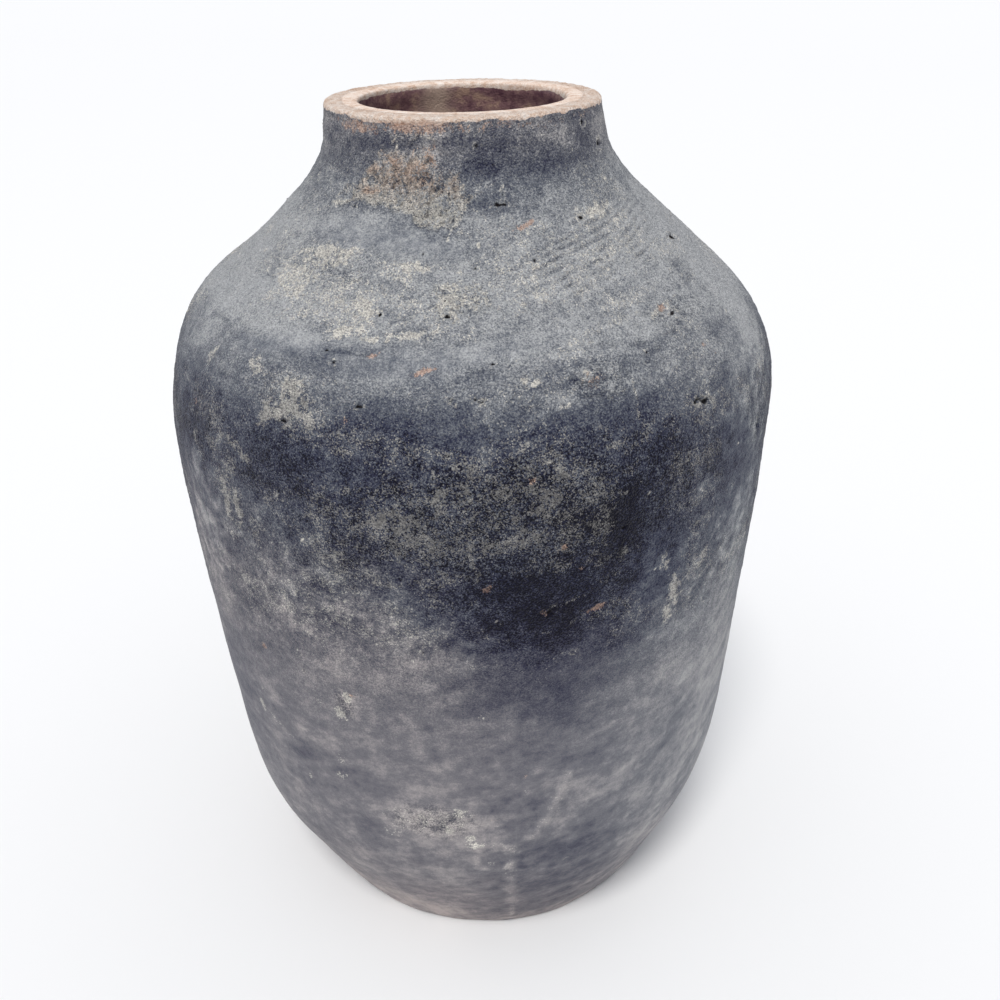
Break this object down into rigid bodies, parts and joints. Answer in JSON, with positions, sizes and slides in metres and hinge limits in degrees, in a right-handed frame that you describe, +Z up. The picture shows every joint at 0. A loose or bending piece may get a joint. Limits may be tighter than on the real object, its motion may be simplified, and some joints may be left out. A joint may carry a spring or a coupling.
{
  "type": "black clay storage jar",
  "caption": "Thick hand-built black clay jar with a wide rounded shoulder, short neck, flat bare-clay lip and broad flat foot, made of luted courses.",
  "frame": {"origin": "centre of the foot, on the plane that the jar stands on", "axes": "+Z up along the jar's axis of turning, through the middle of the mouth; the jar is round, so +X and +Y are free"},
  "size_m": [0.2806, 0.2806, 0.4],
  "materials": {
    "smoked_clay": "satin",
    "bare_clay": "matte"
  },
  "bodies": {
    "root": {"floor_slab": "smoked_clay", "foot_course": "smoked_clay", "lower_wall_course": "smoked_clay", "middle_wall_course": "smoked_clay", "belly_course": "smoked_clay", "shoulder_swell_course": "smoked_clay", "shoulder_turn_course": "smoked_clay", "shoulder_cone_course": "smoked_clay", "neck_collar": "smoked_clay", "lip_ring": "bare_clay"}
  },
  "joints": []
}
